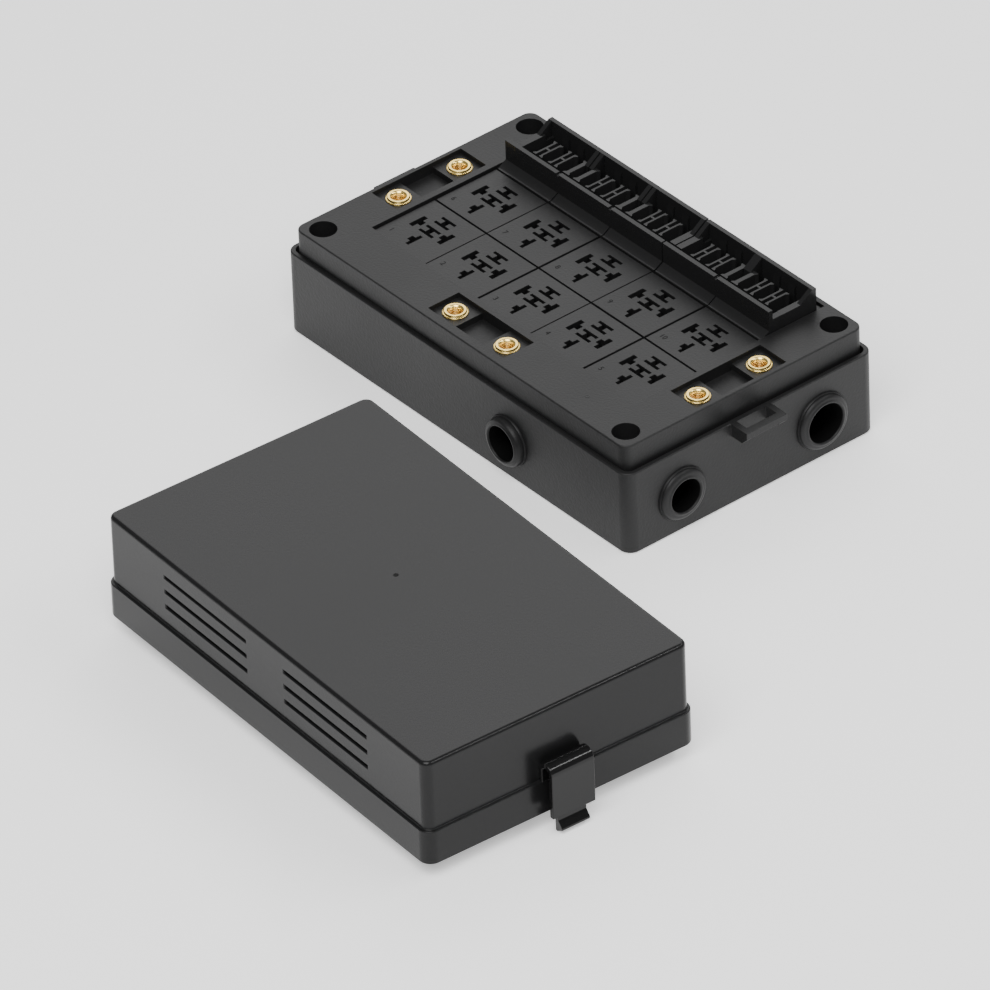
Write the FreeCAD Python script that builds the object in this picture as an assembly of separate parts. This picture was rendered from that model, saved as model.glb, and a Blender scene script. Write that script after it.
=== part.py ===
import FreeCAD, Part
import math
import os

V = FreeCAD.Vector

# Relay field: sockets in columns and rows, sunk a little below the panel's top face
relay_columns = 5
relay_rows = 2
relay_pitch_x = 32.8
relay_pitch_y = 32.5
socket_gap_fine = 0.5
socket_gap_wide = 1.1
row_gap = 0.9
field_edge_gap = 0.8
socket_sink = 1.1
socket_flange = 2.5
socket_body_x = 28.0
socket_body_y = 28.0
socket_body_depth = 15.4
window_clearance = 0.3

# Terminal slots of one relay socket
side_slot_offset = 8.8
side_slot_width = 2.3
side_slot_length = 8.1
side_slot_rise = 1.5
key_width = 2.9
key_reach = 1.9
cross_slot_length = 8.4
cross_slot_bar = 1.35
cross_slot_height = 5.2
cross_slot_stem = 2.6
back_slot_rise = 8.3
centre_slot_rise = 0.2
front_slot_drop = 8.3
front_slot_width = 1.7
front_slot_length = 7.8
front_slot_shift = 0.4

# Fuse blocks behind the relay field
fuse_foot_gap = 0.5
fuse_foot_depth = 4.7
fuse_trough_depth = 21.0
fuse_wall = 2.0
fuse_tail_depth = 3.3
fuse_foot_sink = 1.1
fuse_foot_lip = 1.0
fuse_foot_rise = 2.2
fuse_module_gap = 0.6
fuse_notch_width = 1.6
fuse_notch_depth = 0.8
fuse_floor_sink = 7.0
fuse_rib_rise = 5.9
fuse_wall_rise = 10.4
fuse_body_inset = 1.6
fuse_pitch = 9.3
fuse_rib_length = 11.6
fuse_rib_start = 5.0
fuse_web = 0.95
fuse_rib_width = 3.8
fuse_flare = 0.9
fuse_flare_length = 1.5
fuse_side_rib = 2.0
fuse_side_rib_offset = 13.2
fuse_end_wall = 3.2
fuse_end_notch = 3.0
fuse_gusset = 2.1
fuse_gusset_reach = 6.4
long_gusset_gap = 0.7
short_gusset_gap = 0.0
fuse_pad_reach = 1.2
fuse_pad_rise = 1.8
fuse_terminal_x = 2.6
fuse_terminal_y = 3.8
fuse_terminal_offset = 4.05
block_gap = 0.8

# Insert recesses: a shallow seat with a deeper pocket between two inserts
recess_length = 47.0
recess_width = 16.0
recess_depth = 2.2
pocket_depth = 5.2
recess_field_gap = 3.0
recess_edge_gap = 2.2
front_recess_field_gap = 3.2
front_recess_edge_gap = 4.35
back_edge_gap = 2.65
insert_end_gap = 7.4
pocket_insert_gap = 2.15
insert_hole_radius = 2.5
insert_barrel_radius = 4.2
insert_barrel_length = 8.5
insert_flange_radius = 5.45
insert_flange = 0.6
insert_ring_radius = 4.5
insert_ring_rise = 0.9
insert_boss_wall = 2.2

# Panel
panel_rise = 11.0
panel_plate = 3.0
panel_skirt_wall = 2.2
panel_skirt_drop = 5.5
panel_corner_radius = 4.5
panel_edge_round = 0.7
panel_shelf = 2.4
panel_rib = 2.0
well_edge_x = 9.0
well_edge_y = 8.2
well_radius = 5.75
well_wall = 1.5
well_floor = 2.0

# Tray
tray_height = 39.0
tray_wall = 2.2
tray_floor = 3.0
tray_corner_radius = 5.5
tray_rim_chamfer = 0.4
tray_foot_chamfer = 0.8
rim_ledge_end = 3.4
rim_ledge_side = 2.3
boss_radius = 8.0
boss_neck_radius = 5.6
boss_top_drop = 1.0
boss_rib = 2.4
screw_hole_radius = 3.3

# Cable grommets: bore, lip and flange radii, and how far each stands out
side_grommet_x = 33.3
side_grommet_bore = 7.8
side_grommet_flange = 11.4
side_grommet_reach = 4.3
end_small_y = -37.0
end_small_bore = 7.5
end_small_flange = 12.0
end_small_reach = 3.2
end_large_y = 36.4
end_large_bore = 8.9
end_large_flange = 13.0
end_large_reach = 3.2
grommet_neck = 1.9
grommet_lip = 1.3
grommet_flange_edge = 1.0
grommet_inner_flange = 2.0
grommet_inner_step = 0.8

# Latch keeper: a loop on each end of the tray
keeper_half_width = 10.6
keeper_slot_half_width = 7.6
keeper_slot_reach = 6.2
keeper_bar = 3.4
keeper_bar_height = 3.0
keeper_arm_height = 6.0
keeper_hook_chamfer = 1.8

# Cover
cover_height = 47.8
cover_wall = 2.5
cover_step_clearance = 2.2
cover_skirt_clearance = 0.6
cover_step = 1.4
cover_edge_round = 1.8
vent_length = 54.5
vent_height = 1.5
vent_pitch = 7.2
vent_rows = 3
vent_group_offset = 39.8

# Latch clip: an upright bend on the cover's end wall and a springing tongue outside it
clip_width = 20.4
clip_thickness = 2.2
clip_reach = 7.4
clip_bend_height = 21.5
clip_split_gap = 0.15
shoulder_height = 1.6
tab_half_width = 6.8
tab_set_back = 1.5
tab_joggle = 3.4
tab_drop = 7.0
barb_start = -1.2
barb_reach = 2.3
barb_height = 2.8
barb_nose = 1.0

# Where the cover lies beside the tray
cover_gap = 58.1
cover_shift = 113.8
cover_yaw = -3.3

# Sizes that follow from the ones above
panel_top = tray_height + panel_rise
socket_top = panel_top - socket_sink
shelf_top = socket_top - socket_flange
shelf_bottom = shelf_top - panel_shelf
seat_z = tray_height - panel_skirt_drop
boss_top = tray_height - boss_top_drop
field_half_x = relay_columns * relay_pitch_x / 2 + field_edge_gap / 2
fuse_field_depth = fuse_foot_gap + fuse_foot_depth + fuse_wall + fuse_trough_depth
fuse_field_depth = fuse_field_depth + fuse_wall + fuse_tail_depth + fuse_foot_gap
field_depth = relay_rows * relay_pitch_y + fuse_field_depth
panel_half_x = field_half_x + recess_field_gap + recess_width + recess_edge_gap
panel_half_y = (front_recess_edge_gap + recess_width + front_recess_field_gap
                + field_depth + back_edge_gap) / 2
field_front = -panel_half_y + front_recess_edge_gap + recess_width + front_recess_field_gap
relay_back = field_front + relay_rows * relay_pitch_y
field_back = relay_back + fuse_field_depth
box_half_x = panel_half_x + rim_ledge_end
box_half_y = panel_half_y + rim_ledge_side
insert_offset = recess_length / 2 - insert_end_gap
pocket_length = 2 * (insert_offset - insert_flange_radius - pocket_insert_gap)
side_recess_x = field_half_x + recess_field_gap + recess_width / 2
front_recess_y = -panel_half_y + front_recess_edge_gap + recess_width / 2
well_x = panel_half_x - well_edge_x
well_y = panel_half_y - well_edge_y
cable_z = tray_floor + (seat_z - tray_floor) / 2
skirt_height = panel_rise + cover_step_clearance + cover_wall
body_half_x = box_half_x - cover_step
body_half_y = box_half_y - cover_step
vent_mid_z = (skirt_height + cover_height) / 2
clip_outer_radius = (clip_reach + cover_step) / 2
clip_inner_radius = clip_outer_radius - clip_thickness
clip_axis_reach = clip_reach - clip_outer_radius
cover_y = -(2 * box_half_y + cover_gap)


def slab(x0, x1, y0, y1, z0, z1):
    return Part.makeBox(x1 - x0, y1 - y0, z1 - z0, V(x0, y0, z0))


def round_slab(half_x, half_y, z0, z1, radius):
    block = slab(-half_x, half_x, -half_y, half_y, z0, z1)
    upright = [e for e in block.Edges if abs(e.Vertexes[0].Z - e.Vertexes[1].Z) > 1e-6]
    return block.makeFillet(radius, upright)


def level_edges(shape, z):
    return [e for e in shape.Edges if all(abs(v.Z - z) < 1e-6 for v in e.Vertexes)]


def outline(points, push):
    wire = Part.makePolygon(points + [points[0]])
    return Part.Face(wire).extrude(push)


def post(x, y, z0, z1, radius):
    return Part.makeCylinder(radius, z1 - z0, V(x, y, z0), V(0, 0, 1))


def mirror_x(shape):
    return shape.mirror(V(0, 0, 0), V(1, 0, 0))


def corner_places():
    return [(sx * well_x, sy * well_y) for sx in (-1, 1) for sy in (-1, 1)]


def cable_ports():
    side = (V(side_grommet_x, -box_half_y, cable_z), V(0, -1, 0))
    small = (V(box_half_x, end_small_y, cable_z), V(1, 0, 0))
    large = (V(box_half_x, end_large_y, cable_z), V(1, 0, 0))
    return {
        "grommet_side": side + (side_grommet_bore, side_grommet_flange, side_grommet_reach),
        "grommet_end_small": small + (end_small_bore, end_small_flange, end_small_reach),
        "grommet_end_large": large + (end_large_bore, end_large_flange, end_large_reach),
    }


# Loop on the end wall: two arms and a bar, flush with the rim, hooked underneath
def latch_keeper():
    wall_x = box_half_x - tray_wall / 2
    outer_x = box_half_x + keeper_slot_reach + keeper_bar
    top = tray_height
    arm_bottom = top - keeper_arm_height
    bar_bottom = top - keeper_bar_height
    arm_side = [
        V(wall_x, -keeper_half_width, arm_bottom),
        V(outer_x - keeper_arm_height + keeper_bar_height, -keeper_half_width, arm_bottom),
        V(outer_x, -keeper_half_width, bar_bottom),
        V(outer_x, -keeper_half_width, top),
        V(wall_x, -keeper_half_width, top),
    ]
    loop = outline(arm_side, V(0, 2 * keeper_half_width, 0))
    bar_x = box_half_x + keeper_slot_reach
    slot = slab(box_half_x, bar_x, -keeper_slot_half_width, keeper_slot_half_width,
                arm_bottom - 1, top + 1)
    under_bar = slab(box_half_x, outer_x + 1, -keeper_slot_half_width, keeper_slot_half_width,
                     arm_bottom - 1, bar_bottom)
    hook = outline([
        V(bar_x, -keeper_slot_half_width, bar_bottom),
        V(bar_x + keeper_hook_chamfer, -keeper_slot_half_width, bar_bottom),
        V(bar_x, -keeper_slot_half_width, bar_bottom + keeper_hook_chamfer),
    ], V(0, 2 * keeper_slot_half_width, 0))
    return loop.cut(slot.fuse([under_bar, hook]))


# Open box with four stepped screw bosses tied to the walls, cable holes and two keepers
def tray():
    shell = round_slab(box_half_x, box_half_y, 0, tray_height, tray_corner_radius)
    shell = shell.makeChamfer(tray_rim_chamfer, level_edges(shell, tray_height))
    shell = shell.makeChamfer(tray_foot_chamfer, level_edges(shell, 0))
    hollow = round_slab(box_half_x - tray_wall, box_half_y - tray_wall, tray_floor,
                        tray_height + 1, tray_corner_radius - tray_wall)
    shell = shell.cut(hollow)
    adds = []
    holes = []
    for x, y in corner_places():
        sx = math.copysign(1, x)
        sy = math.copysign(1, y)
        adds.append(post(x, y, tray_floor / 2, seat_z, boss_radius))
        adds.append(post(x, y, tray_floor / 2, boss_top, boss_neck_radius))
        ends = sorted((x, sx * (box_half_x - tray_wall / 2)))
        sides = sorted((y, sy * (box_half_y - tray_wall / 2)))
        adds.append(slab(ends[0], ends[1], y - boss_rib / 2, y + boss_rib / 2,
                         tray_floor / 2, seat_z))
        adds.append(slab(x - boss_rib / 2, x + boss_rib / 2, sides[0], sides[1],
                         tray_floor / 2, seat_z))
        holes.append(post(x, y, -1, boss_top + 1, screw_hole_radius))
    for place, out, bore, flange, reach in cable_ports().values():
        start = place - out * (tray_wall + 1)
        holes.append(Part.makeCylinder(bore + grommet_neck, tray_wall + 2, start, out))
    adds.append(latch_keeper())
    adds.append(mirror_x(latch_keeper()))
    return shell.fuse(adds).cut(holes).removeSplitter()


# Shallow seat with the deeper pocket, long side along X, centred at the origin
def recess_cut():
    seat = slab(-recess_length / 2, recess_length / 2, -recess_width / 2, recess_width / 2,
                panel_top - recess_depth, panel_top + 1)
    pocket = slab(-pocket_length / 2, pocket_length / 2, -recess_width / 2, recess_width / 2,
                  panel_top - pocket_depth, panel_top + 1)
    return seat.fuse(pocket)


def recess_housing():
    half_x = recess_length / 2 + panel_rib
    half_y = recess_width / 2 + panel_rib
    bottom = panel_top - pocket_depth - panel_rib
    housing = slab(-half_x, half_x, -half_y, half_y, bottom, panel_top - panel_plate / 2)
    boss_bottom = panel_top - recess_depth - insert_barrel_length - panel_rib
    bosses = [post(side * insert_offset, 0, boss_bottom, panel_top - panel_plate,
                   insert_barrel_radius + insert_boss_wall) for side in (-1, 1)]
    return housing.fuse(bosses)


def insert_bores():
    seat = panel_top - recess_depth
    return [post(side * insert_offset, 0, seat - insert_barrel_length, seat + 1,
                 insert_barrel_radius) for side in (-1, 1)]


def recess_places():
    return {
        "front": (V(0, front_recess_y, 0), 0),
        "left": (V(-side_recess_x, 0, 0), 90),
        "right": (V(side_recess_x, 0, 0), 90),
    }


def put(shape, place, turn):
    moved = shape.copy()
    moved.rotate(V(0, 0, 0), V(0, 0, 1), turn)
    moved.translate(place)
    return moved


def socket_gap(line):
    return socket_gap_wide if line % 2 == 0 else socket_gap_fine


# One socket's left and right edges, between the fine and the wide column gaps
def socket_span(column):
    start = -relay_columns * relay_pitch_x / 2 + column * relay_pitch_x
    left = start + socket_gap(column) / 2
    right = start + relay_pitch_x - socket_gap(column + 1) / 2
    return left, right, start + relay_pitch_x / 2


def socket_centre_y(row):
    return field_front + (row + 0.5) * relay_pitch_y


def block_spans():
    left = -relay_columns * relay_pitch_x / 2
    split = left + 3 * relay_pitch_x
    right = left + relay_columns * relay_pitch_x
    return {
        "fuse_block_long": (left, split - block_gap / 2, range(3), long_gusset_gap),
        "fuse_block_short": (split + block_gap / 2, right, range(3, relay_columns),
                             short_gusset_gap),
    }


# Top plate with a deep skirt, screw wells, insert recesses and the sunk field with windows
def panel():
    skin = round_slab(panel_half_x, panel_half_y, seat_z, panel_top, panel_corner_radius)
    skin = skin.makeFillet(panel_edge_round, level_edges(skin, panel_top))
    inside = round_slab(panel_half_x - panel_skirt_wall, panel_half_y - panel_skirt_wall,
                        seat_z - 1, panel_top - panel_plate,
                        panel_corner_radius - panel_skirt_wall)
    skin = skin.cut(inside)
    adds = [slab(-field_half_x - panel_rib, field_half_x + panel_rib,
                 field_front - panel_rib, panel_half_y - panel_skirt_wall / 2,
                 shelf_bottom, panel_top - panel_plate / 2)]
    cuts = [slab(-field_half_x, field_half_x, field_front, field_back, shelf_top, panel_top + 1)]
    for x, y in corner_places():
        adds.append(post(x, y, boss_top, panel_top - panel_plate / 2, well_radius + well_wall))
        cuts.append(post(x, y, boss_top + well_floor, panel_top + 1, well_radius))
        cuts.append(post(x, y, boss_top - 1, panel_top, screw_hole_radius))
    for place, turn in recess_places().values():
        adds.append(put(recess_housing(), place, turn))
        cuts.append(put(recess_cut(), place, turn))
        cuts.extend(put(bore, place, turn) for bore in insert_bores())
    window_x = socket_body_x / 2 + window_clearance
    window_y = socket_body_y / 2 + window_clearance
    for column in range(relay_columns):
        middle = socket_span(column)[2]
        for row in range(relay_rows):
            y = socket_centre_y(row)
            cuts.append(slab(middle - window_x, middle + window_x, y - window_y, y + window_y,
                             shelf_bottom - 1, shelf_top + 1))
    for left, right, sections, gusset_gap in block_spans().values():
        inset = fuse_body_inset - window_clearance
        cuts.append(slab(left + inset, right - inset, relay_back + fuse_foot_gap + inset,
                         field_back - fuse_foot_gap - inset, shelf_bottom - 1, shelf_top + 1))
    return skin.fuse(adds).cut(cuts).removeSplitter()


# Upright slot with a key notch that points towards +X
def key_slot(x, y, width, length, z0, z1):
    half = length / 2
    key = key_width / 2
    corners = [(x, y - half), (x + width, y - half), (x + width, y - key),
               (x + width + key_reach, y - key), (x + width + key_reach, y + key),
               (x + width, y + key), (x + width, y + half), (x, y + half)]
    return outline([V(a, b, z0) for a, b in corners], V(0, 0, z1 - z0))


# Slot shaped like a lying H: two bars across X joined by a stem
def cross_slot(y, z0, z1):
    half = cross_slot_length / 2
    reach = cross_slot_height / 2
    inner = reach - cross_slot_bar
    stem = cross_slot_stem / 2
    corners = [(-half, -reach), (half, -reach), (half, -inner), (stem, -inner), (stem, inner),
               (half, inner), (half, reach), (-half, reach), (-half, inner), (-stem, inner),
               (-stem, -inner), (-half, -inner)]
    return outline([V(a, y + b, z0) for a, b in corners], V(0, 0, z1 - z0))


# Square socket: a flange on the panel's shelf, a body through the window, five keyed slots
def relay_socket(column, row):
    left, right, middle = socket_span(column)
    y = socket_centre_y(row)
    near = y - relay_pitch_y / 2 + (row_gap if row else field_edge_gap) / 2
    far = y + relay_pitch_y / 2 - row_gap / 2
    bottom = shelf_top - socket_body_depth
    flange = slab(left, right, near, far, shelf_top, socket_top)
    body = slab(middle - socket_body_x / 2, middle + socket_body_x / 2,
                y - socket_body_y / 2, y + socket_body_y / 2, bottom, shelf_top)
    low = bottom - 1
    high = socket_top + 1
    left_x = -side_slot_offset - side_slot_width / 2
    left_slot = key_slot(left_x, side_slot_rise, side_slot_width, side_slot_length, low, high)
    front_x = front_slot_shift - front_slot_width / 2
    front_slot = key_slot(-front_x - front_slot_width, -front_slot_drop, front_slot_width,
                          front_slot_length, low, high)
    slots = [left_slot, mirror_x(left_slot), mirror_x(front_slot),
             cross_slot(back_slot_rise, low, high), cross_slot(centre_slot_rise, low, high)]
    slots = [put(slot, V(middle, y, 0), 0) for slot in slots]
    return flange.fuse(body).cut(slots).removeSplitter()


# Free-standing rib between two fuses: two webs with a bridge and flared ends
def fork_rib(x, y0, z0, z1):
    out = fuse_rib_width / 2
    inn = out - fuse_web
    half = fuse_rib_length / 2
    knee = half - fuse_flare_length
    tip = out + fuse_flare
    bridge = fuse_web / 2
    quarter = [(inn, bridge), (inn, half), (tip, half), (tip, half - fuse_web / 2), (out, knee)]
    upper = quarter + [(a, -b) for a, b in reversed(quarter)]
    ring = upper + [(-a, -b) for a, b in upper]
    middle = y0 + half
    return outline([V(x + a, middle + b, z0) for a, b in ring], V(0, 0, z1 - z0))


# Solid rib beside a section's border, flared in the same way
def side_rib(x, y0, z0, z1):
    out = fuse_side_rib / 2
    half = fuse_rib_length / 2
    knee = half - fuse_flare_length
    tip = out + fuse_flare
    quarter = [(tip, half), (tip, half - fuse_web / 2), (out, knee)]
    side = quarter + [(a, -b) for a, b in reversed(quarter)]
    ring = side + [(-a, -b) for a, b in side]
    middle = y0 + half
    return outline([V(x + a, middle + b, z0) for a, b in ring], V(0, 0, z1 - z0))


# Plate across X whose upper edge slopes from the back wall down to the ribs
def back_brace(x, width, wall_y, reach, z0, low, high):
    side = [(wall_y, z0), (wall_y, high), (wall_y - reach, low), (wall_y - reach, z0)]
    return outline([V(x - width / 2, a, b) for a, b in side], V(width, 0, 0))


# One section: two forked ribs make three bays, and a solid rib closes each open side
def fuse_section(section, left, right, gusset_gap, rib_y, trough_back, floor_z, rib_z):
    middle = socket_span(section)[2]
    wall_z = panel_top + fuse_wall_rise
    pieces = []
    for side in (-1, 1):
        fork_x = middle + side * fuse_pitch / 2
        pieces.append(fork_rib(fork_x, rib_y, floor_z, rib_z))
        pieces.append(back_brace(fork_x, fuse_rib_width, trough_back, fuse_pad_reach,
                                 floor_z, rib_z, rib_z + fuse_pad_rise))
        border = middle + side * relay_pitch_x / 2
        if left + fuse_end_wall < border < right - fuse_end_wall:
            gusset_x = border - side * (fuse_gusset + gusset_gap) / 2
            pieces.append(side_rib(middle + side * fuse_side_rib_offset, rib_y, floor_z, rib_z))
            pieces.append(back_brace(gusset_x, fuse_gusset, trough_back, fuse_gusset_reach,
                                     floor_z, rib_z, wall_z))
    return pieces


def fuse_terminal_slots(section, rib_y, z0, z1):
    middle = socket_span(section)[2]
    slots = []
    for step in (-1, 0, 1):
        for side in (-1, 1):
            x = middle + step * fuse_pitch
            y = rib_y + fuse_rib_length / 2 + side * fuse_terminal_offset
            slots.append(slab(x - fuse_terminal_x / 2, x + fuse_terminal_x / 2,
                              y - fuse_terminal_y / 2, y + fuse_terminal_y / 2, z0, z1))
    return slots


# Foot along the front wall: a narrow lip, then a slope up to the wall
def fuse_foot(left, right, foot_y, wall_y, foot_z):
    side = [(foot_y, shelf_top), (foot_y, foot_z), (foot_y + fuse_foot_lip, foot_z),
            (wall_y, foot_z + fuse_foot_rise), (wall_y, shelf_top)]
    return outline([V(left, a, b) for a, b in side], V(right - left, 0, 0))


# Border between two sections: a groove down the foot and a notch in the front wall's edge
def module_border(x, foot_y, wall_y, foot_z, wall_z):
    groove = slab(x - fuse_module_gap / 2, x + fuse_module_gap / 2, foot_y - 1, wall_y,
                  foot_z - fuse_notch_depth, wall_z)
    notch = slab(x - fuse_notch_width / 2, x + fuse_notch_width / 2, wall_y - 1,
                 wall_y + fuse_wall + 1, wall_z - fuse_notch_depth, wall_z + 1)
    return [groove, notch]


# Trough for blade fuses: foot on the shelf, two tall walls, a comb of ribs, corner gussets
def fuse_block(left, right, sections, gusset_gap):
    foot_y = relay_back + fuse_foot_gap
    wall_y = foot_y + fuse_foot_depth
    trough_front = wall_y + fuse_wall
    trough_back = trough_front + fuse_trough_depth
    tail_y = trough_back + fuse_wall + fuse_tail_depth
    floor_z = panel_top - fuse_floor_sink
    rib_z = panel_top + fuse_rib_rise
    wall_z = panel_top + fuse_wall_rise
    body_z = shelf_top - socket_body_depth
    inset = fuse_body_inset
    foot_z = panel_top - fuse_foot_sink
    rib_y = trough_front + fuse_rib_start
    solid = fuse_foot(left, right, foot_y, wall_y, foot_z)
    solid = solid.fuse([
        slab(left, right, wall_y, tail_y, shelf_top, foot_z),
        slab(left, right, wall_y, trough_back + fuse_wall, foot_z, wall_z),
        slab(left + inset, right - inset, foot_y + inset, tail_y - inset, body_z, shelf_top),
    ])
    trough = slab(left + fuse_end_wall, right - fuse_end_wall, trough_front, trough_back,
                  floor_z, wall_z + 1)
    over_ends = slab(left - 1, right + 1, trough_front, trough_back,
                     rib_z - fuse_end_notch, wall_z + 1)
    pieces = []
    for end in (left + fuse_end_wall / 2, right - fuse_end_wall / 2):
        pieces.append(slab(end - fuse_end_wall / 2, end + fuse_end_wall / 2, rib_y,
                           rib_y + fuse_rib_length, shelf_top, rib_z))
    for end in (left + fuse_gusset / 2, right - fuse_gusset / 2):
        pieces.append(back_brace(end, fuse_gusset, trough_back, fuse_gusset_reach,
                                 shelf_top, rib_z, wall_z))
    slots = []
    for section in sections:
        pieces.extend(fuse_section(section, left, right, gusset_gap, rib_y, trough_back,
                                   floor_z, rib_z))
        slots.extend(fuse_terminal_slots(section, rib_y, body_z - 1, floor_z + 1))
    for section in sections[1:]:
        border = socket_span(section)[2] - relay_pitch_x / 2
        slots.extend(module_border(border, foot_y, wall_y, foot_z, wall_z))
    solid = solid.cut([trough, over_ends]).fuse(pieces)
    return solid.cut(slots).removeSplitter()


# Flanged bush with a raised ring and an open threaded hole, turned about its axis
def threaded_insert():
    seat = panel_top - recess_depth
    flange_top = seat + insert_flange
    ring_top = flange_top + insert_ring_rise
    bottom = seat - insert_barrel_length
    half_section = [
        V(insert_hole_radius, 0, bottom),
        V(insert_barrel_radius, 0, bottom),
        V(insert_barrel_radius, 0, seat),
        V(insert_flange_radius, 0, seat),
        V(insert_flange_radius, 0, flange_top),
        V(insert_ring_radius, 0, flange_top),
        V(insert_ring_radius - insert_flange / 3, 0, ring_top),
        V(insert_hole_radius + insert_ring_rise, 0, ring_top),
        V(insert_hole_radius, 0, flange_top),
    ]
    face = Part.Face(Part.makePolygon(half_section + [half_section[0]]))
    return face.revolve(V(0, 0, 0), V(0, 0, 1), 360)


# Rubber bush gripped by the wall: outer flange rising to a rounded lip, neck, inner flange
def grommet(place, out, bore, flange, reach):
    neck = bore + grommet_neck
    lip = bore + grommet_lip
    inner = flange - grommet_inner_step
    back = -tray_wall - grommet_inner_flange
    bulge_z = (grommet_flange_edge + reach + grommet_lip) / 2
    half_section = [
        V(bore, 0, back),
        V(inner, 0, back),
        V(inner, 0, -tray_wall),
        V(neck, 0, -tray_wall),
        V(neck, 0, 0),
        V(flange, 0, 0),
        V(flange, 0, grommet_flange_edge),
        V((flange + lip + grommet_lip) / 2, 0, bulge_z),
        V(lip, 0, reach),
        V(bore, 0, reach),
    ]
    face = Part.Face(Part.makePolygon(half_section + [half_section[0]]))
    bush = face.revolve(V(0, 0, 0), V(0, 0, 1), 360)
    bush.Placement = FreeCAD.Placement(place, FreeCAD.Rotation(V(0, 0, 1), out))
    return bush


# Cover on its own axes: skirt's lower edge at z 0, centred on x and y
def cover_shell():
    skirt = round_slab(box_half_x, box_half_y, 0, skirt_height, tray_corner_radius)
    body = round_slab(body_half_x, body_half_y, skirt_height / 2, cover_height,
                      tray_corner_radius - cover_step)
    body = body.makeFillet(cover_edge_round, level_edges(body, cover_height))
    skirt_inside = round_slab(panel_half_x + cover_skirt_clearance,
                              panel_half_y + cover_skirt_clearance,
                              -1, skirt_height - cover_wall, panel_corner_radius)
    body_inside = round_slab(body_half_x - cover_wall, body_half_y - cover_wall,
                             skirt_height / 2, cover_height - cover_wall,
                             tray_corner_radius - cover_step - cover_wall / 2)
    return skirt.fuse(body).cut([skirt_inside, body_inside]).removeSplitter()


def vent_slots():
    slots = []
    for group in (-1, 1):
        for row in range(vent_rows):
            x = group * vent_group_offset
            z = vent_mid_z + (row - (vent_rows - 1) / 2) * vent_pitch
            slots.append(slab(x - vent_length / 2, x + vent_length / 2, -box_half_y, box_half_y,
                              z - vent_height / 2, z + vent_height / 2))
    return slots


# Half ring of the clip's bend between two angles, along the clip's width
def bend(angle0, angle1):
    axis_x = box_half_x + clip_axis_reach
    ring = Part.makeCylinder(clip_outer_radius, clip_width, V(0, -clip_width / 2, 0),
                             V(0, 1, 0), 360)
    core = Part.makeCylinder(clip_inner_radius, clip_width + 2, V(0, -clip_width / 2 - 1, 0),
                             V(0, 1, 0), 360)
    ring = ring.cut(core)
    far = 2 * clip_outer_radius
    wedge = outline([
        V(0, -clip_width, 0),
        V(far * math.cos(math.radians(angle0)), -clip_width,
          far * math.sin(math.radians(angle0))),
        V(far * math.cos(math.radians((angle0 + angle1) / 2)), -clip_width,
          far * math.sin(math.radians((angle0 + angle1) / 2))),
        V(far * math.cos(math.radians(angle1)), -clip_width,
          far * math.sin(math.radians(angle1))),
    ], V(0, 2 * clip_width, 0))
    return put(ring.common(wedge), V(axis_x, 0, clip_bend_height), 0)


# Fixed half of the clip: a leg on the cover's end wall and the inner half of the bend
def clip():
    wall_x = box_half_x - cover_step
    leg = slab(wall_x, wall_x + clip_thickness, -clip_width / 2, clip_width / 2,
               skirt_height, clip_bend_height)
    return leg.fuse(bend(90, 180)).removeSplitter()


# Moving half: outer half of the bend, plate with shoulders, set-back tab and barb
def tongue():
    outer = box_half_x + clip_reach
    inner = outer - clip_thickness
    plate = slab(inner, outer, -clip_width / 2, clip_width / 2, shoulder_height,
                 clip_bend_height)
    tab_out = outer - tab_set_back
    tab_in = tab_out - clip_thickness
    barb_out = tab_out + barb_reach
    tab_side = [
        (tab_in, shoulder_height + tab_joggle),
        (inner, shoulder_height + tab_joggle + clip_thickness / 2),
        (inner + clip_thickness / 2, shoulder_height + tab_joggle),
        (tab_out, shoulder_height),
        (tab_out, barb_start),
        (barb_out, barb_start - barb_height),
        (barb_out, barb_start - barb_height - barb_nose),
        (tab_in + clip_thickness / 2, -tab_drop),
        (tab_in, -tab_drop),
    ]
    tab = outline([V(x, -tab_half_width, z) for x, z in tab_side], V(0, 2 * tab_half_width, 0))
    crown_gap = slab(box_half_x - clip_reach, box_half_x + clip_axis_reach + clip_split_gap,
                     -clip_width, clip_width, clip_bend_height, cover_height)
    return plate.fuse([bend(0, 90), tab]).cut(crown_gap).removeSplitter()


# From the cover's own axes to where it lies, standing on the tongues' tips
def lay_down(shape):
    return put(shape, V(cover_shift, cover_y, tab_drop), cover_yaw)


def main():
    os.makedirs("parts", exist_ok=True)
    nodes = {"tray": tray(), "panel": panel()}
    number = 0
    for row in range(relay_rows):
        for column in range(relay_columns):
            number = number + 1
            nodes["relay_socket_%d" % number] = relay_socket(column, row)
    for name, span in block_spans().items():
        nodes[name] = fuse_block(*span)
    for side, (place, turn) in recess_places().items():
        for order, offset in (("a", -insert_offset), ("b", insert_offset)):
            piece = put(threaded_insert(), V(offset, 0, 0), 0)
            nodes["insert_%s_%s" % (side, order)] = put(piece, place, turn)
    for name, port in cable_ports().items():
        nodes[name] = grommet(*port)
    nodes["cover"] = lay_down(cover_shell().cut(vent_slots()))
    nodes["clip_near"] = lay_down(clip())
    nodes["clip_far"] = lay_down(mirror_x(clip()))
    nodes["tongue_near"] = lay_down(tongue())
    nodes["tongue_far"] = lay_down(mirror_x(tongue()))
    for name, shape in nodes.items():
        shape.exportStep("parts/%s.step" % name)


main()
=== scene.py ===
import bpy
import bmesh
import math
from mathutils import Matrix, Vector


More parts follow.
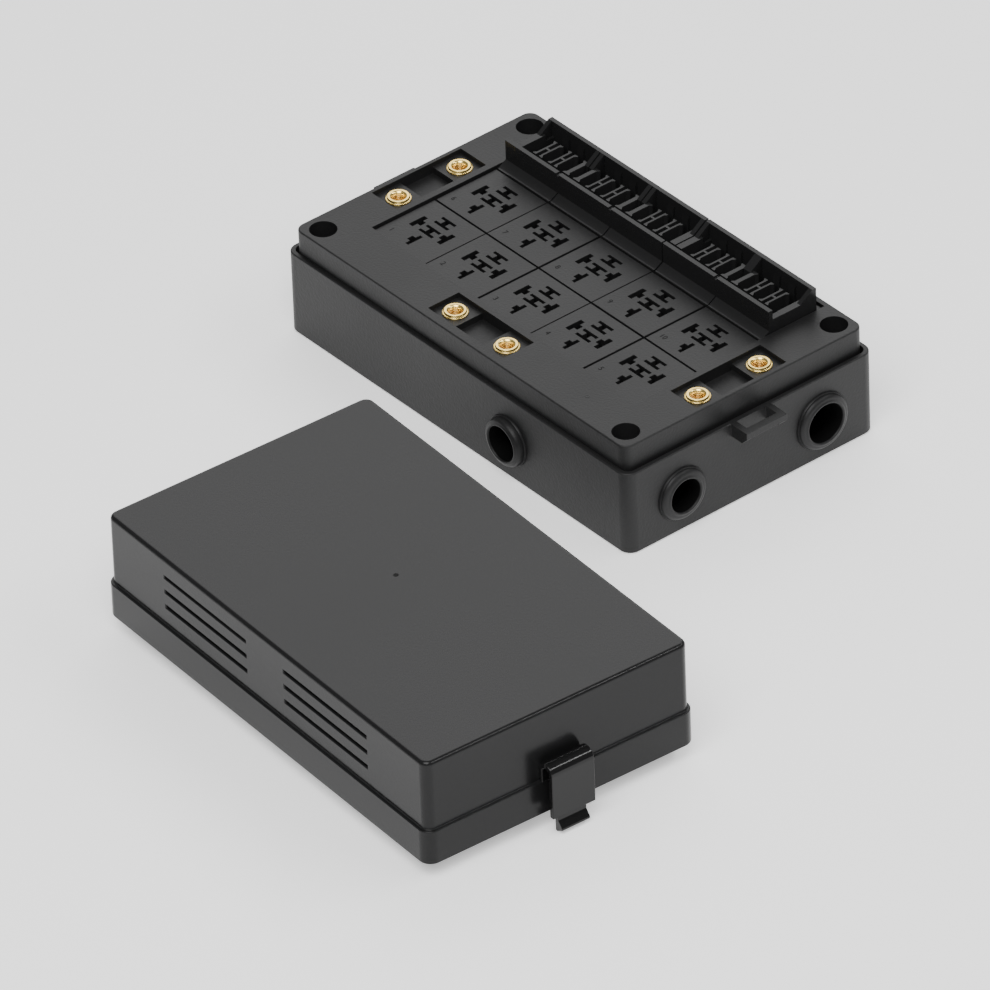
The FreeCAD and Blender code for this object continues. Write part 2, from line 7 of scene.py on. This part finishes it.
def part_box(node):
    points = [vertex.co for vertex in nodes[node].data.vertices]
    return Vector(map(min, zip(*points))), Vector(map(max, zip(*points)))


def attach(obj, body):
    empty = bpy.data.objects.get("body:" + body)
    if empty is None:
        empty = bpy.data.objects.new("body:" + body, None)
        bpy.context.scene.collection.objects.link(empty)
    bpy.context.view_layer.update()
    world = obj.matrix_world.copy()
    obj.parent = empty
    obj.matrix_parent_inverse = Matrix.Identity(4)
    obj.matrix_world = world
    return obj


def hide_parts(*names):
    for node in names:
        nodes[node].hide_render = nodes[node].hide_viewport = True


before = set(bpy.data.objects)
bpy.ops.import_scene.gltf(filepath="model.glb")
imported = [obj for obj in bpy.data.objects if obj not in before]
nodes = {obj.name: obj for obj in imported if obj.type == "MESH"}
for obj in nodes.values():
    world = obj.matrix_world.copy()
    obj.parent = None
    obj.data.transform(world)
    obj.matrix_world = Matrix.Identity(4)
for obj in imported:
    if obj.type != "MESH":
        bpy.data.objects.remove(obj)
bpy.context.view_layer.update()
scene = bpy.context.scene


# Floor: one smooth pale sheet that runs far past the view and glows a little, as a
# light table does under a product shot. It is a stage piece and belongs to nothing.
FLOOR_HALF = 6.0
FLOOR_COLOUR = (0.95, 0.95, 0.95, 1.0)
FLOOR_ROUGHNESS = 0.9
FLOOR_SPECULAR = 0.1
FLOOR_GLOW = 0.56

floor_mesh = bpy.data.meshes.new("floor")
floor_mesh.from_pydata(
    [(-FLOOR_HALF, -FLOOR_HALF, 0), (FLOOR_HALF, -FLOOR_HALF, 0),
     (FLOOR_HALF, FLOOR_HALF, 0), (-FLOOR_HALF, FLOOR_HALF, 0)], [], [(0, 1, 2, 3)])
floor = bpy.data.objects.new("floor", floor_mesh)
scene.collection.objects.link(floor)
floor_paper = bpy.data.materials.new("floor_paper")
floor_paper.use_nodes = True
paper = floor_paper.node_tree.nodes["Principled BSDF"]
paper.inputs["Base Color"].default_value = FLOOR_COLOUR
paper.inputs["Roughness"].default_value = FLOOR_ROUGHNESS
paper.inputs["Specular IOR Level"].default_value = FLOOR_SPECULAR
paper.inputs["Emission Color"].default_value = FLOOR_COLOUR
paper.inputs["Emission Strength"].default_value = FLOOR_GLOW
floor_mesh.materials.append(floor_paper)


# Camera: a long lens from the near right-hand corner, a little rolled. It slides
# across its own view so that base and cover sit as in the picture.
VIEW_AZIMUTH = 51.488
VIEW_ELEVATION = 35.861
VIEW_ROLL = -2.188
CAMERA_DISTANCE = 5.6491
CAMERA_SIDE = -0.03450
CAMERA_RISE = -0.04719
LENS_PIXELS = 14000
IMAGE_PIXELS = 990
FILM_WIDTH = 36.0
CLIP_NEAR = 0.1
CLIP_FAR = 50.0

camera_data = bpy.data.cameras.new("camera")
camera_data.sensor_width = FILM_WIDTH
camera_data.lens = LENS_PIXELS / IMAGE_PIXELS * FILM_WIDTH
camera_data.clip_start = CLIP_NEAR
camera_data.clip_end = CLIP_FAR
camera = bpy.data.objects.new("camera", camera_data)
camera_turn = (Matrix.Rotation(math.radians(VIEW_AZIMUTH), 4, "Z")
               @ Matrix.Rotation(math.radians(90 - VIEW_ELEVATION), 4, "X")
               @ Matrix.Rotation(math.radians(VIEW_ROLL), 4, "Z"))
camera_place = camera_turn @ Vector((CAMERA_SIDE, CAMERA_RISE, CAMERA_DISTANCE))
camera.matrix_world = Matrix.Translation(camera_place) @ camera_turn
scene.collection.objects.link(camera)
scene.camera = camera


# Light: a dim room with a broad soft panel behind the box on the left, which the top
# faces mirror, a key panel above the camera that leaves the shadows out of sight, and
# a thin strip behind on the right for the line along folds and edges.
ROOM_COLOUR = (1.0, 1.0, 1.0, 1.0)
ROOM_STRENGTH = 0.22
LIGHT_AIM = (0.04, -0.09, 0.02)

room = bpy.data.worlds.new("room")
scene.world = room
room.use_nodes = True
room.node_tree.nodes["Background"].inputs["Color"].default_value = ROOM_COLOUR
room.node_tree.nodes["Background"].inputs["Strength"].default_value = ROOM_STRENGTH


# Brightness is that of a panel's face, so a bigger panel gives more light
def soft_panel(name, azimuth, elevation, distance, width, height, brightness):
    data = bpy.data.lights.new(name, "AREA")
    data.shape = "RECTANGLE"
    data.size = width
    data.size_y = height
    data.energy = brightness * math.pi * width * height
    lamp = bpy.data.objects.new(name, data)
    turn = (Matrix.Rotation(math.radians(azimuth), 4, "Z")
            @ Matrix.Rotation(math.radians(90 - elevation), 4, "X"))
    place = Vector(LIGHT_AIM) + (turn @ Vector((0, 0, distance)))
    lamp.matrix_world = Matrix.Translation(place) @ turn
    scene.collection.objects.link(lamp)


soft_panel("panel_back_left", azimuth=-131, elevation=38, distance=2.2,
           width=2.3, height=2.0, brightness=2.2)
soft_panel("panel_key", azimuth=37, elevation=56, distance=1.8,
           width=1.2, height=1.2, brightness=7.4)
soft_panel("strip_back_right", azimuth=137, elevation=46, distance=2.0,
           width=2.0, height=0.08, brightness=30.0)


# Tray and top panel: a deep box and the plate that closes it, moulded in black nylon
# filled with glass fibre, with a fine grain and a dry sheen. The panel's skirt fits inside
# the tray's rim, and four screws in its corner wells hold it on the tray's bosses.
HOUSING_BLACK = (0.0105, 0.0105, 0.0108)
HOUSING_EDGE = 0.0003
GRAIN_SCALE = 900.0
CLOUD_SCALE = 14.0
NOISE_DETAIL = 3.0
NOISE_MIDDLE = 0.5
GRAIN_SHARE = 0.6
GRAIN_MOTTLE = 0.1
GRAIN_ROUGHNESS = 0.5
GRAIN_UNEVENNESS = 0.16
GRAIN_DEPTH = 0.0001
WELD_REACH = 0.000002
FLAT_ANGLE = 0.5
CORNER_ANGLE = 35
EDGE_STEPS = 2
FACE_WEIGHT = 80


def new_group(name, inputs, outputs):
    group = bpy.data.node_groups.new(name, "ShaderNodeTree")
    for label, kind, value in inputs:
        socket = group.interface.new_socket(label, in_out="INPUT", socket_type=kind)
        socket.default_value = value
    for label, kind in outputs:
        group.interface.new_socket(label, in_out="OUTPUT", socket_type=kind)
    return group, group.nodes.new("NodeGroupInput"), group.nodes.new("NodeGroupOutput")


# The grain is a fine noise on a cloudy one. It darkens and lightens the colour, makes
# the roughness uneven and gives the height of the relief.
grain_group, grain_in, grain_out = new_group(
    "moulded_grain",
    [("Colour", "NodeSocketColor", (*HOUSING_BLACK, 1)),
     ("Grain Scale", "NodeSocketFloat", GRAIN_SCALE),
     ("Mottle", "NodeSocketFloat", GRAIN_MOTTLE),
     ("Roughness", "NodeSocketFloat", GRAIN_ROUGHNESS),
     ("Unevenness", "NodeSocketFloat", GRAIN_UNEVENNESS)],
    [("Colour", "NodeSocketColor"), ("Roughness", "NodeSocketFloat"),
     ("Height", "NodeSocketFloat")])
links = grain_group.links
on_object = grain_group.nodes.new("ShaderNodeTexCoord")
fine = grain_group.nodes.new("ShaderNodeTexNoise")
fine.inputs["Detail"].default_value = NOISE_DETAIL
cloudy = grain_group.nodes.new("ShaderNodeTexNoise")
cloudy.inputs["Scale"].default_value = CLOUD_SCALE
cloudy.inputs["Detail"].default_value = NOISE_DETAIL
links.new(on_object.outputs["Object"], fine.inputs["Vector"])
links.new(on_object.outputs["Object"], cloudy.inputs["Vector"])
links.new(grain_in.outputs["Grain Scale"], fine.inputs["Scale"])
both = grain_group.nodes.new("ShaderNodeMath")
both.operation = "MULTIPLY_ADD"
both.inputs[1].default_value = GRAIN_SHARE
links.new(fine.outputs["Fac"], both.inputs[0])
links.new(cloudy.outputs["Fac"], both.inputs[2])
centred = grain_group.nodes.new("ShaderNodeMath")
centred.operation = "SUBTRACT"
centred.inputs[1].default_value = NOISE_MIDDLE * (1 + GRAIN_SHARE)
links.new(both.outputs[0], centred.inputs[0])
shade = grain_group.nodes.new("ShaderNodeMath")
shade.operation = "MULTIPLY_ADD"
shade.inputs[2].default_value = 1.0
links.new(centred.outputs[0], shade.inputs[0])
links.new(grain_in.outputs["Mottle"], shade.inputs[1])
tint = grain_group.nodes.new("ShaderNodeVectorMath")
tint.operation = "SCALE"
links.new(grain_in.outputs["Colour"], tint.inputs[0])
links.new(shade.outputs[0], tint.inputs["Scale"])
links.new(tint.outputs[0], grain_out.inputs["Colour"])
uneven = grain_group.nodes.new("ShaderNodeMath")
uneven.operation = "MULTIPLY_ADD"
links.new(centred.outputs[0], uneven.inputs[0])
links.new(grain_in.outputs["Unevenness"], uneven.inputs[1])
links.new(grain_in.outputs["Roughness"], uneven.inputs[2])
links.new(uneven.outputs[0], grain_out.inputs["Roughness"])
links.new(fine.outputs["Fac"], grain_out.inputs["Height"])


def grained(name, colour, roughness, mottle):
    material = bpy.data.materials.new(name)
    material.use_nodes = True
    tree = material.node_tree
    shader = tree.nodes["Principled BSDF"]
    grain = tree.nodes.new("ShaderNodeGroup")
    grain.name = "grain"
    grain.node_tree = grain_group
    grain.inputs["Colour"].default_value = (*colour, 1)
    grain.inputs["Roughness"].default_value = roughness
    grain.inputs["Mottle"].default_value = mottle
    tree.links.new(grain.outputs["Colour"], shader.inputs["Base Color"])
    tree.links.new(grain.outputs["Roughness"], shader.inputs["Roughness"])
    return material


def moulded(name, colour, roughness, mottle, relief_strength, specular):
    material = grained(name, colour, roughness, mottle)
    tree = material.node_tree
    shader = tree.nodes["Principled BSDF"]
    shader.inputs["Specular IOR Level"].default_value = specular
    relief = tree.nodes.new("ShaderNodeBump")
    relief.inputs["Strength"].default_value = relief_strength
    relief.inputs["Distance"].default_value = GRAIN_DEPTH
    tree.links.new(tree.nodes["grain"].outputs["Height"], relief.inputs["Height"])
    tree.links.new(relief.outputs["Normal"], shader.inputs["Normal"])
    return material


# A CAD node is loose triangles. They are welded and joined into flat faces, so that the
# bevel finds the real edges. The panel's many-holed top is cut up again first, because a
# bevel on that one big face would turn some of its triangles over.
def finish_node(name, material, edge, cut_up=False):
    part = nodes[name]
    part.data.materials.clear()
    part.data.materials.append(material)
    weld = part.modifiers.new("weld", "WELD")
    weld.merge_threshold = WELD_REACH
    flat = part.modifiers.new("flat_faces", "DECIMATE")
    flat.decimate_type = "DISSOLVE"
    flat.angle_limit = math.radians(FLAT_ANGLE)
    if cut_up:
        part.modifiers.new("cut_up", "TRIANGULATE")
    bevel = part.modifiers.new("soft_edge", "BEVEL")
    bevel.width = edge
    bevel.segments = EDGE_STEPS
    bevel.limit_method = "ANGLE"
    bevel.angle_limit = math.radians(CORNER_ANGLE)
    weighted = part.modifiers.new("even_shading", "WEIGHTED_NORMAL")
    weighted.weight = FACE_WEIGHT
    part.data.shade_smooth()


housing_plastic = moulded("housing_plastic", HOUSING_BLACK, roughness=0.5, mottle=0.7,
                          relief_strength=1.0, specular=0.32)
finish_node("tray", housing_plastic, HOUSING_EDGE)
finish_node("panel", housing_plastic, HOUSING_EDGE, cut_up=True)


# Relay sockets: ten blocks of the same nylon with five keyed slots each, a little
# smoother than the panel. They stand in two rows on the shelf of its sunk field.
SOCKETS = 10
SOCKET_BLACK = (0.0098, 0.0098, 0.0101)
SOCKET_EDGE = 0.0002

socket_plastic = moulded("socket_plastic", SOCKET_BLACK, roughness=0.48, mottle=0.6,
                         relief_strength=0.8, specular=0.32)
for number in range(1, SOCKETS + 1):
    finish_node("relay_socket_%d" % number, socket_plastic, SOCKET_EDGE)


# Fuse blocks: two troughs in smooth, glossy black plastic that drop into the panel. A
# low web in each outer corner ties the front wall of the trough to its end wall.
BLOCK_BLACK = (0.015, 0.015, 0.0153)
BLOCK_EDGE = 0.00015
WEB_WIDTH = 0.0032
WEB_FRONT = 0.0067
WEB_DEPTH = 0.005
WEB_LOW_Z = 0.0529
WEB_TOP_Z = 0.05587
WEB_INSET = 0.00004
WEB_ROOT = 0.0002

block_plastic = moulded("block_plastic", BLOCK_BLACK, roughness=0.22, mottle=0.2,
                        relief_strength=0.03, specular=0.17)
for name in ("fuse_block_long", "fuse_block_short"):
    finish_node(name, block_plastic, BLOCK_EDGE)


def solid_box(name, low, high):
    work = bmesh.new()
    bmesh.ops.create_cube(work, size=1.0)
    for vertex in work.verts:
        vertex.co = Vector([start + (stop - start) * (place + 0.5)
                            for start, stop, place in zip(low, high, vertex.co)])
    mesh = bpy.data.meshes.new(name)
    work.to_mesh(mesh)
    work.free()
    return mesh


for name, block, side in (("corner_web_far", "fuse_block_long", -1),
                          ("corner_web_near", "fuse_block_short", 1)):
    lowest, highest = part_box(block)
    end = highest[0] if side > 0 else lowest[0]
    left, right = sorted((end - side * WEB_INSET, end - side * WEB_WIDTH))
    front = lowest[1] + WEB_FRONT
    mesh = solid_box(name, (left, front - WEB_ROOT, WEB_LOW_Z - WEB_ROOT),
                     (right, front + WEB_DEPTH + WEB_ROOT, WEB_TOP_Z))
    mesh.materials.append(block_plastic)
    piece = bpy.data.objects.new(name, mesh)
    scene.collection.objects.link(piece)
    edge = piece.modifiers.new("soft_edge", "BEVEL")
    edge.width = BLOCK_EDGE
    edge.segments = EDGE_STEPS
    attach(piece, "base")


# Brass inserts: a turned bush with a raised ring and a knurled flange, and a thread in
# its hole, pressed into the panel in pairs. The bush is one lathe profile of radii and
# heights above the flange's seat; the teeth and the thread come from node trees.
BUSH_BRASS = (1.0, 0.74, 0.25)
# The thread's brass is darker and browner than the bush: painted shade for the inside of the
# bore.
SHADED_THREAD_BRASS = (0.6, 0.36, 0.16)
BRASS_MOTTLE = 0.15
BORE_RADIUS = 0.00262
BUSH_RADIUS = 0.0042
FLANGE_RADIUS = 0.0053
BUSH_DEPTH = 0.0085
RING_HEIGHT = 0.0015
INSERT_PROFILE = [
    (BORE_RADIUS, -BUSH_DEPTH), (BUSH_RADIUS, -BUSH_DEPTH), (BUSH_RADIUS, 0.0),
    (FLANGE_RADIUS, 0.0), (FLANGE_RADIUS, 0.00045), (0.00515, 0.0006), (0.0048, 0.0006),
    (0.00472, 0.00066), (0.00466, 0.0013), (0.0045, RING_HEIGHT), (0.0037, RING_HEIGHT),
    (0.00345, 0.0014), (BORE_RADIUS, 0.0006)]
INSERT_STEPS = 64
FOLD_ANGLE = 50
TEETH = 84
TOOTH_SIZE = (0.00008, 0.00019, 0.00042)
TOOTH_RISE = 0.00027
THREAD_DEPTH = 0.0002
THREAD_PITCH = 0.0008
THREAD_TURNS = 8
THREAD_BOTTOM = -0.0062
THREAD_STEPS = 40
THREAD_SIDES = 4


def turned(name, profile, steps):
    count = len(profile)
    points = []
    faces = []
    for step in range(steps):
        angle = 2 * math.pi * step / steps
        points += [(radius * math.cos(angle), radius * math.sin(angle), height)
                   for radius, height in profile]
        row = step * count
        next_row = (step + 1) % steps * count
        for corner in range(count):
            after = (corner + 1) % count
            faces.append((row + corner, next_row + corner, next_row + after, row + after))
    mesh = bpy.data.meshes.new(name)
    mesh.from_pydata(points, [], faces)
    work = bmesh.new()
    work.from_mesh(mesh)
    bmesh.ops.recalc_face_normals(work, faces=work.faces)
    work.to_mesh(mesh)
    work.free()
    mesh.shade_smooth()
    mesh.set_sharp_from_angle(angle=math.radians(FOLD_ANGLE))
    return mesh


def geometry_tree(name, inputs):
    tree = bpy.data.node_groups.new(name, "GeometryNodeTree")
    tree.interface.new_socket("Geometry", in_out="INPUT", socket_type="NodeSocketGeometry")
    for label, kind, value in inputs:
        socket = tree.interface.new_socket(label, in_out="INPUT", socket_type=kind)
        if value is not None:
            socket.default_value = value
    tree.interface.new_socket("Geometry", in_out="OUTPUT", socket_type="NodeSocketGeometry")
    return tree, tree.nodes.new("NodeGroupInput"), tree.nodes.new("NodeGroupOutput")


def grown(name, tree, values):
    base = bpy.data.objects.new(name + "_seed", bpy.data.meshes.new(name + "_seed"))
    scene.collection.objects.link(base)
    modifier = base.modifiers.new("grow", "NODES")
    modifier.node_group = tree
    for item in tree.interface.items_tree:
        if item.in_out == "INPUT" and item.name in values:
            modifier[item.identifier] = values[item.name]
    shaped = base.evaluated_get(bpy.context.evaluated_depsgraph_get())
    mesh = bpy.data.meshes.new_from_object(shaped)
    base.modifiers.remove(modifier)
    bpy.data.objects.remove(base)
    mesh.name = name
    return mesh


# Teeth: small blocks set round a circle, each turned to face outwards
teeth_tree, tree_in, tree_out = geometry_tree(
    "rim_teeth",
    [("Count", "NodeSocketInt", TEETH), ("Radius", "NodeSocketFloat", FLANGE_RADIUS),
     ("Tooth", "NodeSocketVector", TOOTH_SIZE), ("Material", "NodeSocketMaterial", None)])
ring = teeth_tree.nodes.new("GeometryNodeMeshCircle")
tooth = teeth_tree.nodes.new("GeometryNodeMeshCube")
where = teeth_tree.nodes.new("GeometryNodeInputPosition")
outward = teeth_tree.nodes.new("FunctionNodeAlignRotationToVector")
outward.axis = "X"
spread = teeth_tree.nodes.new("GeometryNodeInstanceOnPoints")
real = teeth_tree.nodes.new("GeometryNodeRealizeInstances")
paint = teeth_tree.nodes.new("GeometryNodeSetMaterial")
teeth_tree.links.new(tree_in.outputs["Count"], ring.inputs["Vertices"])
teeth_tree.links.new(tree_in.outputs["Radius"], ring.inputs["Radius"])
teeth_tree.links.new(tree_in.outputs["Tooth"], tooth.inputs["Size"])
teeth_tree.links.new(where.outputs["Position"], outward.inputs["Vector"])
teeth_tree.links.new(ring.outputs["Mesh"], spread.inputs["Points"])
teeth_tree.links.new(tooth.outputs["Mesh"], spread.inputs["Instance"])
teeth_tree.links.new(outward.outputs["Rotation"], spread.inputs["Rotation"])
teeth_tree.links.new(spread.outputs["Instances"], real.inputs["Geometry"])
teeth_tree.links.new(real.outputs["Geometry"], paint.inputs["Geometry"])
teeth_tree.links.new(tree_in.outputs["Material"], paint.inputs["Material"])
teeth_tree.links.new(paint.outputs["Geometry"], tree_out.inputs["Geometry"])

# Thread: a square ridge set on edge and drawn along a screw line on the bore's wall, so
# that its inner half stands out of the brass
thread_tree, tree_in, tree_out = geometry_tree(
    "thread_ridge",
    [("Turns", "NodeSocketFloat", THREAD_TURNS), ("Radius", "NodeSocketFloat", BORE_RADIUS),
     ("Pitch", "NodeSocketFloat", THREAD_PITCH), ("Depth", "NodeSocketFloat", THREAD_DEPTH),
     ("Material", "NodeSocketMaterial", None)])
screw_line = thread_tree.nodes.new("GeometryNodeCurveSpiral")
screw_line.inputs["Resolution"].default_value = THREAD_STEPS
rise = thread_tree.nodes.new("ShaderNodeMath")
rise.operation = "MULTIPLY"
ridge = thread_tree.nodes.new("GeometryNodeCurvePrimitiveCircle")
ridge.inputs["Resolution"].default_value = THREAD_SIDES
drawn = thread_tree.nodes.new("GeometryNodeCurveToMesh")
drawn.inputs["Fill Caps"].default_value = True
real = thread_tree.nodes.new("GeometryNodeRealizeInstances")
paint = thread_tree.nodes.new("GeometryNodeSetMaterial")
thread_tree.links.new(tree_in.outputs["Turns"], screw_line.inputs["Rotations"])
thread_tree.links.new(tree_in.outputs["Radius"], screw_line.inputs["Start Radius"])
thread_tree.links.new(tree_in.outputs["Radius"], screw_line.inputs["End Radius"])
thread_tree.links.new(tree_in.outputs["Turns"], rise.inputs[0])
thread_tree.links.new(tree_in.outputs["Pitch"], rise.inputs[1])
thread_tree.links.new(rise.outputs[0], screw_line.inputs["Height"])
thread_tree.links.new(tree_in.outputs["Depth"], ridge.inputs["Radius"])
thread_tree.links.new(screw_line.outputs["Curve"], drawn.inputs["Curve"])
thread_tree.links.new(ridge.outputs["Curve"], drawn.inputs["Profile Curve"])
thread_tree.links.new(drawn.outputs["Mesh"], real.inputs["Geometry"])
thread_tree.links.new(real.outputs["Geometry"], paint.inputs["Geometry"])
thread_tree.links.new(tree_in.outputs["Material"], paint.inputs["Material"])
thread_tree.links.new(paint.outputs["Geometry"], tree_out.inputs["Geometry"])


def brass(name, colour, roughness):
    material = grained(name, colour, roughness, BRASS_MOTTLE)
    material.node_tree.nodes["Principled BSDF"].inputs["Metallic"].default_value = 1.0
    return material


def middle_and_top(name):
    lowest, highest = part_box(name)
    return (lowest[0] + highest[0]) / 2, (lowest[1] + highest[1]) / 2, highest[2]


turned_brass = brass("turned_brass", BUSH_BRASS, roughness=0.27)
# The thread gets the darker brass, which is painted shade for the inside of the bore.
shaded_thread_brass = brass("shaded_thread_brass", SHADED_THREAD_BRASS, roughness=0.36)
bush_mesh = turned("brass_insert", INSERT_PROFILE, INSERT_STEPS)
bush_mesh.materials.append(turned_brass)
teeth_mesh = grown("flange_teeth", teeth_tree, {"Material": turned_brass})
teeth_mesh.transform(Matrix.Translation((0, 0, TOOTH_RISE)))
thread_mesh = grown("insert_thread", thread_tree, {"Material": shaded_thread_brass})
thread_mesh.transform(Matrix.Translation((0, 0, THREAD_BOTTOM)))
for side in ("front", "left", "right"):
    for name in ("insert_%s_a" % side, "insert_%s_b" % side):
        x, y, top = middle_and_top(name)
        for part, source in (("bush", bush_mesh), ("teeth", teeth_mesh),
                             ("thread", thread_mesh)):
            mesh = source.copy()
            mesh.transform(Matrix.Translation((x, y, top - RING_HEIGHT)))
            piece = bpy.data.objects.new("%s_%s" % (name, part), mesh)
            scene.collection.objects.link(piece)
            if part == "bush":
                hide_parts(name)
            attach(piece, "base")


# Rubber grommets: turned bushes that snap into the tray's cable holes, with a flange on
# the wall, a fat rounded collar and a thin lip round the bore. Each is one lathe profile,
# worked out from its own bore, flange and reach, with its height measured from the wall.
RUBBER_BLACK = (0.0085, 0.0085, 0.0088)
# The bore's wall is near black: painted shade for the inside of the cable hole.
BORE_SHADE_BLACK = (0.002, 0.002, 0.002)
GROMMETS = {
    "grommet_side": dict(bore=0.0078, flange=0.0114, reach=0.0043, axis="X",
                         place=(0.0333, -0.0649)),
    "grommet_end_small": dict(bore=0.0075, flange=0.012, reach=0.0032, axis="Y",
                              place=(0.107, -0.037)),
    "grommet_end_large": dict(bore=0.0089, flange=0.013, reach=0.0032, axis="Y",
                              place=(0.107, 0.0364))}
GROMMET_Z = 0.01825
GROMMET_BACK = 0.0042
GROMMET_FLANGE = 0.001
FLANGE_RIM = 0.7
FLANGE_ROUND = 0.0002
BACK_STEP = 0.0008
NECK_WALL = 0.0019
TRAY_WALL = 0.0022
COLLAR_STEP = 0.0005
COLLAR_WALL = 0.0016
COLLAR_DROP = 0.0004
COLLAR_STEPS = 8
LIP_PROFILE = [(0.0012, -0.0002), (0.0009, 0), (0.0004, 0), (0.0001, -0.0002), (0, -0.0007)]
GROMMET_STEPS = 72
UPRIGHT = 0.1

grommet_rubber = moulded("grommet_rubber", RUBBER_BLACK, roughness=0.45, mottle=0.5,
                         relief_strength=0.5, specular=0.28)


def plain_black(name, colour, roughness, specular):
    material = bpy.data.materials.new(name)
    material.use_nodes = True
    shader = material.node_tree.nodes["Principled BSDF"]
    shader.inputs["Base Color"].default_value = (*colour, 1)
    shader.inputs["Roughness"].default_value = roughness
    shader.inputs["Specular IOR Level"].default_value = specular
    return material


shaded_bore_rubber = plain_black("shaded_bore_rubber", BORE_SHADE_BLACK, roughness=0.8, specular=0.1)


def grommet_profile(bore, flange, reach):
    inner = flange - BACK_STEP
    neck = bore + NECK_WALL
    profile = [(bore, -GROMMET_BACK), (inner, -GROMMET_BACK), (inner, -TRAY_WALL),
               (neck, -TRAY_WALL), (neck, 0), (flange, 0),
               (flange, GROMMET_FLANGE * FLANGE_RIM), (flange - FLANGE_ROUND, GROMMET_FLANGE)]
    collar_out = flange - COLLAR_STEP
    collar_in = bore + COLLAR_WALL
    for step in range(COLLAR_STEPS + 1):
        angle = math.radians(90 * step / COLLAR_STEPS)
        profile.append((collar_in + (collar_out - collar_in) * math.cos(angle),
                        GROMMET_FLANGE + (reach - COLLAR_DROP - GROMMET_FLANGE)
                        * math.sin(angle)))
    return profile + [(bore + out, reach + up) for out, up in LIP_PROFILE]


for name, own in GROMMETS.items():
    mesh = turned(name + "_rubber", grommet_profile(own["bore"], own["flange"], own["reach"]),
                  GROMMET_STEPS)
    mesh.materials.append(grommet_rubber)
    mesh.materials.append(shaded_bore_rubber)
    # Faces on the bore's wall take the near-black painted shade.
    for face in mesh.polygons:
        inside = math.hypot(face.center.x, face.center.y) < own["bore"]
        if inside and abs(face.normal.z) < UPRIGHT:
            face.material_index = 1
    mesh.transform(Matrix.Translation((*own["place"], GROMMET_Z))
                   @ Matrix.Rotation(math.radians(90), 4, own["axis"]))
    piece = bpy.data.objects.new(name + "_rubber", mesh)
    scene.collection.objects.link(piece)
    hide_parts(name)
    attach(piece, "base")


# Position numbers: 1 to 10, one in the front left corner of each socket's top face. They
# are moulded there in the same black nylon and stand up by less than a tenth of a
# millimetre.
MARK_BLACK = (0.004, 0.004, 0.004)
NUMBER_HEIGHT = 0.0026
NUMBER_PLACE = (-0.0117, -0.0102)
NUMBER_LIFT = 0.00006
FIGURE_SHARE = 0.72
FIGURE_STEPS = 3

mark_plastic = plain_black("mark_plastic", MARK_BLACK, roughness=0.7, specular=0.2)


def number_mesh(text, height):
    words = bpy.data.curves.new("number_" + text, "FONT")
    words.body = text
    words.size = height / FIGURE_SHARE
    words.align_x = "CENTER"
    words.align_y = "CENTER"
    words.resolution_u = FIGURE_STEPS
    holder = bpy.data.objects.new("number_holder", words)
    scene.collection.objects.link(holder)
    mesh = bpy.data.meshes.new_from_object(
        holder.evaluated_get(bpy.context.evaluated_depsgraph_get()))
    bpy.data.objects.remove(holder)
    bpy.data.curves.remove(words)
    return mesh


for number in range(1, SOCKETS + 1):
    x, y, top = middle_and_top("relay_socket_%d" % number)
    mesh = number_mesh(str(number), NUMBER_HEIGHT)
    mesh.transform(Matrix.Translation((x + NUMBER_PLACE[0], y + NUMBER_PLACE[1],
                                       top + NUMBER_LIFT)))
    mesh.materials.clear()
    mesh.materials.append(mark_plastic)
    piece = bpy.data.objects.new("number_%d" % number, mesh)
    scene.collection.objects.link(piece)
    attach(piece, "base")


# Cover: a deep lid of the same nylon from a better polished mould, so its edges and the
# step above its skirt glint more. It fits over the panel, and here it lies beside the base.
COVER_EDGE = 0.0005

cover_plastic = moulded("cover_plastic", HOUSING_BLACK, roughness=0.2, mottle=0.35,
                        relief_strength=0.3, specular=0.19)
finish_node("cover", cover_plastic, COVER_EDGE)


# Latches: bent straps in a glossier black plastic on both ends of the cover, with a
# springing tongue that hooks the keeper on the tray. The folds catch one bright line.
LATCH_BLACK = (0.006, 0.006, 0.0062)
LATCH_EDGE = 0.0003

latch_plastic = moulded("latch_plastic", LATCH_BLACK, roughness=0.13, mottle=0.2,
                        relief_strength=0.05, specular=0.28)
for name in ("clip_near", "clip_far", "tongue_near", "tongue_far"):
    finish_node(name, latch_plastic, LATCH_EDGE)


# Gate marks: small round buttons with a sunk middle, left where the nylon ran into the
# mould. One is near the middle of the cover's top and one between the front inserts and
# the panel's end.
GATE_PROFILE = [(0.0001, -0.0002), (0.0011, -0.0002), (0.0011, 0.00004), (0.0009, 0.0001),
                (0.0007, 0.00008), (0.0005, 0.00002), (0.0001, 0.00006)]
GATE_STEPS = 24
COVER_GATE = (-0.001, 0.001)
PANEL_GATE = (0.066, -0.05025)

for name, body, node, offset, plastic in (
        ("gate_mark_cover", "cover", "cover", COVER_GATE, mark_plastic),
        ("gate_mark_panel", "base", "panel", PANEL_GATE, housing_plastic)):
    x, y, top = middle_and_top(node)
    mesh = turned(name, GATE_PROFILE, GATE_STEPS)
    mesh.transform(Matrix.Translation((x + offset[0], y + offset[1], top)))
    mesh.materials.append(plastic)
    piece = bpy.data.objects.new(name, mesh)
    scene.collection.objects.link(piece)
    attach(piece, body)
